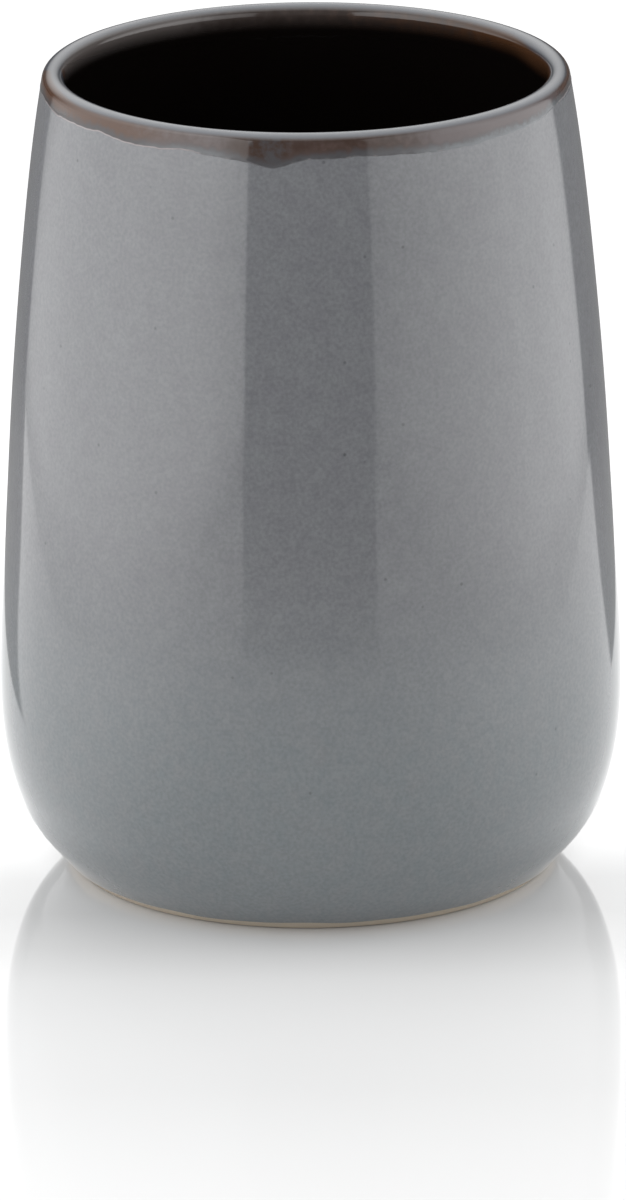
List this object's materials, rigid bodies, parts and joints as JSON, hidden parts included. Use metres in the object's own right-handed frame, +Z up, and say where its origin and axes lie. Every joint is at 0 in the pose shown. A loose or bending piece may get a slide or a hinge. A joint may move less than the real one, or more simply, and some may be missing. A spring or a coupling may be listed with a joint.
{
  "type": "bathroom tumbler",
  "caption": "Round stoneware bathroom tumbler with a full belly, a narrower mouth and a foot ring, glazed grey outside, dark inside and brown at the dipped lip.",
  "frame": {"origin": "middle of the foot ring, on the surface that the tumbler stands on", "axes": "+Z up along the axis that the cup is turned about, towards the mouth; -Y is the side that the picture shows"},
  "size_m": [0.0838, 0.0838, 0.11],
  "materials": {
    "bare_stoneware": "bare fired stoneware, matt and fine grained",
    "dark_liner_glaze": "glossy near-black brown glaze",
    "brown_rim_glaze": "glossy brown glaze, thin and warmer where it breaks over the lip",
    "grey_outer_glaze": "glossy blue-grey glaze with fine speckle",
    "grey_recess_glaze": "glossy grey glaze"
  },
  "bodies": {
    "root": {"stoneware_body": "bare_stoneware", "liner_glaze": "dark_liner_glaze", "rim_glaze": "brown_rim_glaze", "outer_glaze": "grey_outer_glaze", "underside_glaze": "grey_recess_glaze"}
  },
  "joints": []
}
